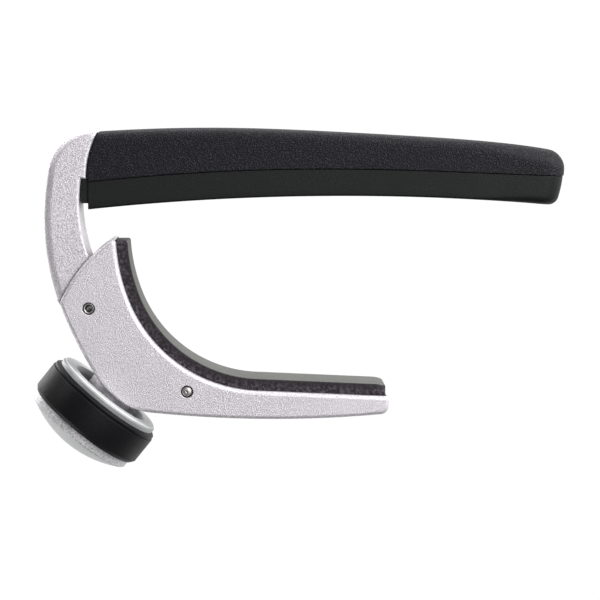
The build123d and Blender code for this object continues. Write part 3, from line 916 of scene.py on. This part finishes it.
@dataclass
class StringBar:
    """Grained cover and smooth string pad on the arm's spine."""

    half: float = 4.7
    string_radius: float = 395.0
    root_x: float = -40.6
    crown: Outline = ((-38.75, 10.4), (-27.5, 10.82), (-8.5, 10.52), (10.6, 9.54), (29.8, 7.93),
                      (33.9, 7.27))
    parting: Outline = ((-40.6, 2.3), (-22.0, 3.8), (-2.0, 4.3), (17.0, 3.85), (40.0, 3.0))
    tip_line: Outline = ((0.0, 35.1), (2.3, 35.6), (4.6, 35.8))
    root_line: Outline = ((2.9, -40.6), (7.35, -39.94), (10.4, -38.75))
    plan_radius: float = 3.1
    cover_wall: float = 1.65
    pad_step: float = 0.12
    spine_half: float = 2.95
    strip_half: float = 2.65
    strip_deep: float = 1.95
    cover_channel: float = 30.8
    pad_channel: float = 29.6

    def __post_init__(self) -> None:
        """Work out the curves."""
        crown = curve_through(self.crown)
        self.crown_at: Rule = lambda x: crown(x) - 0.015
        self.parting_at = curve_through(self.parting)
        self.tip_at = curve_through(self.tip_line)
        root = curve_through(self.root_line)
        self.root_at: Rule = lambda z: root(max(z, 2.9))

    def string_at(self, x: float) -> float:
        """Height of the arched string face."""
        return (self.string_radius ** 2 - x ** 2) ** 0.5 - self.string_radius

    def cover(self) -> bpy.types.Object:
        """Grained cover with the spine's channel."""
        outer = BarSkin(self.half, self.crown_at, self.parting_at,
                        lambda z: self.tip_at(min(z, 4.6)), self.root_at, self.plan_radius, 1.5, 2.55)
        inner = BarSkin(self.spine_half, lambda x: self.crown_at(x) - self.cover_wall, self.parting_at,
                        lambda z: self.cover_channel, self.root_at, 1.0, 0.4, 0.4)
        piece = shell_between("cover_skin", outer, inner)
        soften(piece, 0.16)
        return piece

    def pad(self) -> bpy.types.Object:
        """String pad with the carrier's channel."""
        edge = self.pad_step
        outer = BarSkin(self.half - edge, self.string_at, lambda x: self.parting_at(x) - 0.03,
                        lambda z: self.tip_at(z) - edge, lambda z: self.root_x, self.plan_radius, 0.35, 1.25)
        inner = BarSkin(self.strip_half, lambda x: self.parting_at(x) - self.strip_deep,
                        lambda x: self.parting_at(x) - 0.03, lambda z: self.pad_channel,
                        lambda z: self.root_x, 0.6, 0.2, 0.2)
        piece = shell_between("string_rubber", outer, inner)
        soften(piece, 0.12)
        return piece


# ---------------------------------------------------------------- neck pad


@dataclass
class NeckLining:
    """Rubber strip that lines the cradle."""

    centre: tuple[float, float] = (-12.85, -8.25)
    radius: float = 21.05
    heel_radius: float = 27.84
    heel_angle: float = 201.3
    toe_tilt: float = 2.7
    thick: float = 2.05
    half: float = 4.7
    heel_z: float = -7.1
    toe_x: float = 6.9
    toe_round: float = 0.95
    heel_round: float = 0.45
    edge: float = 0.28
    stations: int = 96
    length: float = 42.0
    bends: tuple[float, float] = (0.22, 0.72)

    def place(self, offset: float, share: float) -> tuple[float, float]:
        """X and Z at a depth into the strip and a share of its length.

        Args:
            offset: Depth from the contact face.
            share: 0 at the heel end, 1 at the toe end.

        Returns:
            The place in millimetres.
        """
        lift = self.radius - self.heel_radius
        heel = (self.centre[0] + lift * cos(radians(self.heel_angle)),
                self.centre[1] + lift * sin(radians(self.heel_angle)))
        top = 180 - degrees(asin((self.heel_z - heel[1]) / (self.heel_radius + offset)))
        toe_angle = 270 - self.toe_tilt
        first, second = self.bends
        if share < first:
            angle = top + (self.heel_angle - top) * share / first
            reach, middle = self.heel_radius + offset, heel
        else:
            along = min((share - first) / (second - first), 1.0)
            angle = self.heel_angle + (toe_angle - self.heel_angle) * along
            reach, middle = self.radius + offset, self.centre
        x = middle[0] + reach * cos(radians(angle))
        z = middle[1] + reach * sin(radians(angle))
        if share > second:
            step = (self.toe_x - x) * (share - second) / (1 - second)
            x, z = x + step, z - step * tan(radians(self.toe_tilt))
        return x, z

    def ring(self, share: float, pull: float, squeeze: float) -> list[Point]:
        """Rounded section of the strip.

        Args:
            share: Place along the strip.
            pull: Narrowing of each side in Y.
            squeeze: Narrowing of the two faces in depth.

        Returns:
            The section's corners in order.
        """
        wide = self.half - pull
        made = []
        for side_y, side_d, start in ((1, 0, 90), (1, 1, 0), (-1, 1, -90), (-1, 0, 180)):
            for step in range(5):
                turn = radians(start - step * 22.5)
                y = side_y * (wide - self.edge) + self.edge * cos(turn)
                depth = squeeze + self.edge if side_d == 0 else self.thick - squeeze - self.edge
                x, z = self.place(depth - self.edge * sin(turn), share)
                made.append((x, y, z))
        return made

    def build(self) -> bpy.types.Object:
        """Make the strip with rounded ends and mark its contact face."""
        rows = []
        for end, size in ((0, self.heel_round), (1, self.toe_round)):
            for step in range(7):
                turn = step / 6 * pi / 2
                back = size * (1 - sin(turn)) / self.length
                rows.append((abs(end - back), size * (1 - cos(turn)), 0.4 * size * (1 - cos(turn))))
        first, last = self.heel_round / self.length, 1 - self.toe_round / self.length
        rows += [(first + (last - first) * k / self.stations, 0.0, 0.0) for k in range(1, self.stations)]
        rows.sort()
        corners = [p for row in rows for p in self.ring(*row)]
        count = len(corners) // len(rows)
        faces = [[a * count + k, a * count + (k + 1) % count, (a + 1) * count + (k + 1) % count,
                  (a + 1) * count + k] for a in range(len(rows) - 1) for k in range(count)]
        faces += [list(range(count)), list(range(len(corners) - count, len(corners)))]
        piece = make_piece("neck_rubber_strip", corners, faces, 60.0)
        self.mark(piece)
        return piece

    def mark(self, piece: bpy.types.Object) -> None:
        """Write each vertex's depth in the strip and whether it is on the contact face."""
        contact = piece.data.attributes.new("contact", "FLOAT", "POINT").data
        depth = piece.data.attributes.new("depth", "FLOAT", "POINT").data
        line = np.array([self.place(0.0, k / 900) for k in range(901)])
        for vertex in piece.data.vertices:
            x, y, z = (c / MM for c in vertex.co)
            gap = np.hypot(line[:, 0] - x, line[:, 1] - z).min()
            contact[vertex.index].value = float(gap < 0.2 and abs(y) < self.half - 0.12)
            depth[vertex.index].value = gap / self.thick


# ---------------------------------------------------------------- knob and gear


@dataclass
class AdjustingGear:
    """Knob, screw, spring and pins, placed from the frame's joints."""

    joint_station: float = 15.0
    ring_top: float = 9.19
    grip_top: float = 10.17
    grip_end: float = 15.98
    knob_radius: float = 10.1
    core_radius: float = 8.3
    wall_radius: float = 9.1
    recess_radius: float = 6.9
    spring_radius: float = 2.3
    wire: float = 0.25
    spring_low: float = 4.47
    spring_high: float = 10.33
    spring_turns: float = 6.0
    travel: float = 2.0
    thread_pitch: float = 0.5
    thread_span: tuple[float, float] = (0.5, 10.0)
    thread_radius: float = 1.41
    ridge: float = 0.13
    ridge_points: int = 28
    pins: dict[str, Vector] = field(default_factory=dict)

    def __post_init__(self) -> None:
        """Read the screw line and the pins from the frame."""
        spin = next(j for j in frame["joints"] if j["name"] == "knob_spin")
        self.axis = -Vector(spin["axis"])
        self.origin = Vector(spin["pos_m"]) - self.axis * self.joint_station * MM
        turn = Vector((0, 0, 1)).rotation_difference(self.axis).to_matrix().to_4x4()
        self.place = Matrix.Translation(self.origin) @ turn
        for node in ("hinge_pin", "pad_pin"):
            low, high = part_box(node)
            self.pins[node] = (low + high) / 2

    def grip(self, tree: TurnedTree, finish: bpy.types.Material) -> bpy.types.Object:
        """Rubber band with the fine step near its upper edge."""
        r, low, high = self.knob_radius, self.grip_top, self.grip_end
        profile = ((self.core_radius, low), (r - 0.62, low), (r - 0.16, low + 0.36), (r - 0.16, low + 0.72),
                   (r - 0.26, low + 0.76), (r - 0.26, low + 0.84), (r, low + 0.90), (r, high - 0.62),
                   (r - 0.48, high), (self.core_radius, high))
        return tree.turn("grip_band", profile, self.place, finish, segments=160, corner=0.12, steps=4)

    def pin_place(self, node: str) -> Matrix:
        """Matrix that lays a turned pin along Y at its node's place."""
        return Matrix.Translation(self.pins[node]) @ Matrix.Rotation(pi / 2, 4, "X")

    def hinge_pin(self, tree: TurnedTree, finish: bpy.types.Material) -> bpy.types.Object:
        """Hinge pin with rolled, hollow ends."""
        end = ((1.0, 5.22), (0.88, 5.26), (0.84, 5.60), (0.72, 5.65), (0.62, 5.58), (0.56, 4.80), (0.26, 4.62),
               (0.0, 4.72))
        return tree.turn("hinge_pin_steel", self.mirrored(end), self.pin_place("hinge_pin"), finish,
                         segments=48, corner=0.06)

    def pad_pin(self, tree: TurnedTree, finish: bpy.types.Material) -> bpy.types.Object:
        """Pad pin with domed ends and a small centre mark."""
        end = ((1.0, 5.40), (0.86, 5.42), (0.82, 5.70), (0.66, 5.79), (0.26, 5.84), (0.17, 5.83), (0.10, 5.66),
               (0.0, 5.66))
        return tree.turn("pad_pin_steel", self.mirrored(end), self.pin_place("pad_pin"), finish,
                         segments=48, corner=0.05)

    @staticmethod
    def mirrored(end: Outline) -> list[tuple[float, float]]:
        """Closed outline from one end's corners and the same corners at the other end."""
        return [*end, *((r, -h) for r, h in reversed(end))]

    def spring(self, tree: CoilTree, finish: bpy.types.Material) -> bpy.types.Object:
        """Return spring with close end turns."""
        place = self.place @ Matrix.Translation((0, 0, self.spring_low * MM))
        return tree.wind("spring_coil", place, {
            "Turns": self.spring_turns, "Mean Radius": self.spring_radius * MM,
            "Height": (self.spring_high - self.spring_low) * MM,
            "Close Rise": self.spring_turns * 2.1 * self.wire * MM, "Wire Radius": self.wire * MM,
            "Wire Sides": 12, "Points": 260, "Finish": finish})

    def thread(self, tree: CoilTree, finish: bpy.types.Material) -> bpy.types.Object:
        """Thread ridge of the adjusting screw."""
        low, high = self.thread_span
        turns = (high - low) / self.thread_pitch
        return tree.wind("screw_thread", self.place @ Matrix.Translation((0, 0, low * MM)), {
            "Turns": turns, "Mean Radius": self.thread_radius * MM, "Height": (high - low) * MM,
            "Close Rise": (high - low) * MM, "Wire Radius": self.ridge * MM, "Wire Sides": 4,
            "Points": int(turns * self.ridge_points), "Finish": finish})


# ---------------------------------------------------------------- the whole capo


class Capo:
    """Builds and dresses every piece."""

    def __init__(self) -> None:
        """Make the shared trees and the finishes."""
        self.groups = SharedGroups()
        self.turned = TurnedTree()
        self.coil = CoilTree()
        self.gear = AdjustingGear()
        self.bar = StringBar()
        self.finishes = {name: finish.make(name, self.groups) for name, finish in self.recipes().items()}

    def recipes(self) -> dict[str, Finish]:
        """Every finish by name."""
        line = {"origin": tuple(self.gear.origin), "axis": tuple(self.gear.axis)}
        across = {name: {"origin": tuple(at), "axis": (0.0, 1.0, 0.0)} for name, at in self.gear.pins.items()}
        return {
            "silver_powder": PowderCoat(),
            "grained_cover": MouldedRubber(grain=Grain.LEATHER, colour=(0.004, 0.0036, 0.0062),
                                           grain_and_highlight=(0.050, 0.046, 0.060), cell=0.27 * MM, depth=0.05 * MM,
                                           roughness=0.5, sheen=0.22),
            "smooth_pad": MouldedRubber(colour=(0.006, 0.0066, 0.0068), grain_and_highlight=(0.017, 0.018, 0.018),
                                        cell=0.25 * MM, depth=0.012 * MM, roughness=0.48, sheen=0.2),
            "carrier_plastic": MouldedRubber(colour=(0.006, 0.006, 0.006), grain_and_highlight=(0.02, 0.02, 0.02),
                                             cell=0.3 * MM, depth=0.015 * MM),
            "neck_lining": MouldedRubber(grain=Grain.TORN, colour=(0.016, 0.012, 0.016),
                                         grain_and_highlight=(0.12, 0.105, 0.12), cell=0.5 * MM, depth=0.03 * MM,
                                         roughness=0.6, sheen=0.2, face=(0.105, 0.108, 0.10)),
            "grip_rubber_band": MouldedRubber(colour=(0.0045, 0.0045, 0.0055), grain_and_highlight=(0.016, 0.015, 0.016),
                                              cell=0.3 * MM, depth=0.015 * MM, roughness=0.42, sheen=0.15),
            "knob_paint": KnobMetal(wall=self.gear.wall_radius * MM, recess=self.gear.recess_radius * MM,
                                    ring_top=self.gear.ring_top * MM, **line),
            "hinge_steel": TurnedMetal(gap_shade_radius=0.86 * MM, dish=0.6 * MM, pitch=0.05 * MM, **across["hinge_pin"]),
            "pad_steel": TurnedMetal(gap_shade_radius=0.84 * MM, dish=0.14 * MM, pitch=0.06 * MM, **across["pad_pin"]),
            "screw_steel": TurnedMetal(light=(0.55, 0.54, 0.52), dark=(0.3, 0.29, 0.28), **line),
            "spring_wire": TurnedMetal(light=(0.5, 0.5, 0.5), dark=(0.28, 0.28, 0.29), roughness=0.28, **line),
            "turned_brass": TurnedMetal(light=(0.78, 0.57, 0.25), dark=(0.55, 0.38, 0.15), **line),
            "white_nylon": MouldedRubber(colour=(0.55, 0.54, 0.50), grain_and_highlight=(0.7, 0.69, 0.65), cell=0.3 * MM,
                                         depth=0.01 * MM, roughness=0.45),
        }

    def cad_looks(self) -> dict[str, tuple[str, ...]]:
        """CAD nodes that stay, by the finish that they get."""
        return {
            "silver_powder": ("upper_arm", "jaw_body"),
            "carrier_plastic": ("pad_carrier", "neck_pad_plate"),
            "knob_paint": ("knob_hub", "knob_cap"),
            "screw_steel": ("adjusting_screw", "screw_stop"),
            "turned_brass": ("nut_block", "boss_bushing"),
            "white_nylon": ("hinge_washers", "thrust_washer"),
        }

    def dress_frame(self) -> None:
        """Give the CAD nodes that stay their finishes."""
        for finish, nodes in self.cad_looks().items():
            for node in nodes:
                slots = frame["nodes"][node].data.materials
                slots.clear()
                slots.append(self.finishes[finish])
                LOG.info("%s: finish %s", node, finish)

    def build_bar(self) -> None:
        """Cover and string pad."""
        dress(self.bar.cover(), self.finishes["grained_cover"], "cover_black", Body.ARM, "top_cover")
        pad = self.bar.pad()
        dress(pad, self.finishes["smooth_pad"], "pad_black", Body.ARM, "string_pad")

    def build_jaw(self) -> None:
        """Neck lining, pins and return spring."""
        lining = NeckLining().build()
        dress(lining, self.finishes["neck_lining"], "neck_rubber", Body.JAW, "neck_pad")
        for piece, node in ((self.gear.hinge_pin(self.turned, self.finishes["hinge_steel"]), "hinge_pin"),
                            (self.gear.pad_pin(self.turned, self.finishes["pad_steel"]), "pad_pin")):
            dress(piece, self.finishes["pad_steel"], "pin_steel", Body.JAW, node)
        coil = self.gear.spring(self.coil, self.finishes["spring_wire"])
        dress(coil, self.finishes["spring_wire"], "spring_steel", Body.JAW, "return_spring")
        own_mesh(coil)

    def build_knob(self) -> None:
        """Rubber grip and screw thread."""
        dress(self.gear.grip(self.turned, self.finishes["grip_rubber_band"]),
              self.finishes["grip_rubber_band"], "grip_rubber", Body.KNOB, "knob_grip")
        dress(self.gear.thread(self.coil, self.finishes["screw_steel"]), self.finishes["screw_steel"],
              "pin_steel", Body.KNOB)


# ---------------------------------------------------------------- studio


@dataclass
class Studio:
    """Pale floor, soft boxes and the camera."""

    floor_drop: float = 0.30
    floor_radius: float = 0.82
    eye: Point = (-16.82, -324.7, 12.84)
    aim: Point = (-6.9, -4.7, -16.6)
    lens: float = 120.56
    boxes: tuple[tuple[str, Point, float, float], ...] = (
        ("key_box", (0.36, -0.36, 0.34), 0.34, 3.7),
        ("front_box", (0.30, -0.92, 0.12), 0.60, 3.3),
        ("right_box", (0.50, -0.06, 0.14), 0.34, 1.1),
        ("left_box", (-0.45, -0.15, 0.36), 0.17, 0.6),
        ("low_box", (-0.33, -0.02, -0.26), 0.20, 0.4),
        ("top_box", (-0.06, 0.12, 0.50), 0.60, 3.4),
        ("rim_box", (-0.45, 0.50, 0.12), 0.40, 1.2),
    )

    def floor(self) -> None:
        """Plain pale floor well below the object."""
        rim = [(self.floor_radius * cos(k * pi / 48), self.floor_radius * sin(k * pi / 48), -self.floor_drop)
               for k in range(96)]
        mesh = bpy.data.meshes.new("floor")
        mesh.from_pydata(rim, [], [range(96)])
        paint = bpy.data.materials.new("floor_paint")
        paint.use_nodes = True
        shader = paint.node_tree.nodes["Principled BSDF"]
        shader.inputs["Base Color"].default_value = (0.9, 0.9, 0.9, 1)
        shader.inputs["Roughness"].default_value = 0.9
        shader.inputs["Emission Color"].default_value = (1, 1, 1, 1)
        shader.inputs["Emission Strength"].default_value = 0.1
        mesh.materials.append(paint)
        floor = bpy.data.objects.new("floor", mesh)
        floor.visible_diffuse = False
        floor.visible_glossy = False
        bpy.context.scene.collection.objects.link(floor)

    def light(self) -> None:
        """Soft boxes that face the object, and a pale surrounding."""
        for name, spot, size, power in self.boxes:
            lamp = bpy.data.lights.new(name, "AREA")
            lamp.size = size
            lamp.energy = power
            holder = bpy.data.objects.new(name, lamp)
            holder.location = spot
            holder.rotation_euler = (Vector(self.aim) * MM - Vector(spot)).to_track_quat("-Z", "Y").to_euler()
            bpy.context.scene.collection.objects.link(holder)
        world = bpy.data.worlds.new("tent")
        world.use_nodes = True
        bpy.context.scene.world = world
        graph = Graph(world.node_tree)
        side = graph.add("ShaderNodeSeparateXYZ", {0: graph.add("ShaderNodeTexCoord").outputs["Generated"]})
        tent = graph.maths("ADD", graph.spread(side.outputs["Y"], -0.15, 0.6, 0.12, 0.85, "SMOOTHSTEP"),
                           graph.spread(side.outputs["X"], -0.3, 0.9, 0.0, 0.25))
        seen = graph.add("ShaderNodeLightPath").outputs["Is Camera Ray"]
        glow = graph.maths("MAXIMUM", graph.maths("MULTIPLY", seen, 1.02), tent)
        graph.tree.links.new(glow, world.node_tree.nodes["Background"].inputs["Strength"])
        world.node_tree.nodes["Background"].inputs["Color"].default_value = (1, 1, 1, 1)

    def camera(self) -> None:
        """Camera a little above the object, looking along the strings."""
        data = bpy.data.cameras.new("camera")
        data.lens = self.lens
        data.sensor_width = 36.0
        data.clip_start = 0.01
        holder = bpy.data.objects.new("camera", data)
        holder.location = Vector(self.eye) * MM
        look = (Vector(self.aim) - Vector(self.eye)).to_track_quat("-Z", "Y")
        holder.rotation_euler = look.to_euler()
        bpy.context.scene.collection.objects.link(holder)
        bpy.context.scene.camera = holder
        bpy.context.scene.view_settings.view_transform = "Standard"


def main() -> None:
    """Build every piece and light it."""
    logging.basicConfig(level=logging.INFO, format="%(message)s")
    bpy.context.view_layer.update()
    capo = Capo()
    capo.dress_frame()
    capo.build_bar()
    capo.build_jaw()
    capo.build_knob()
    studio = Studio()
    studio.floor()
    studio.light()
    studio.camera()


if __name__ == "__main__":
    main()
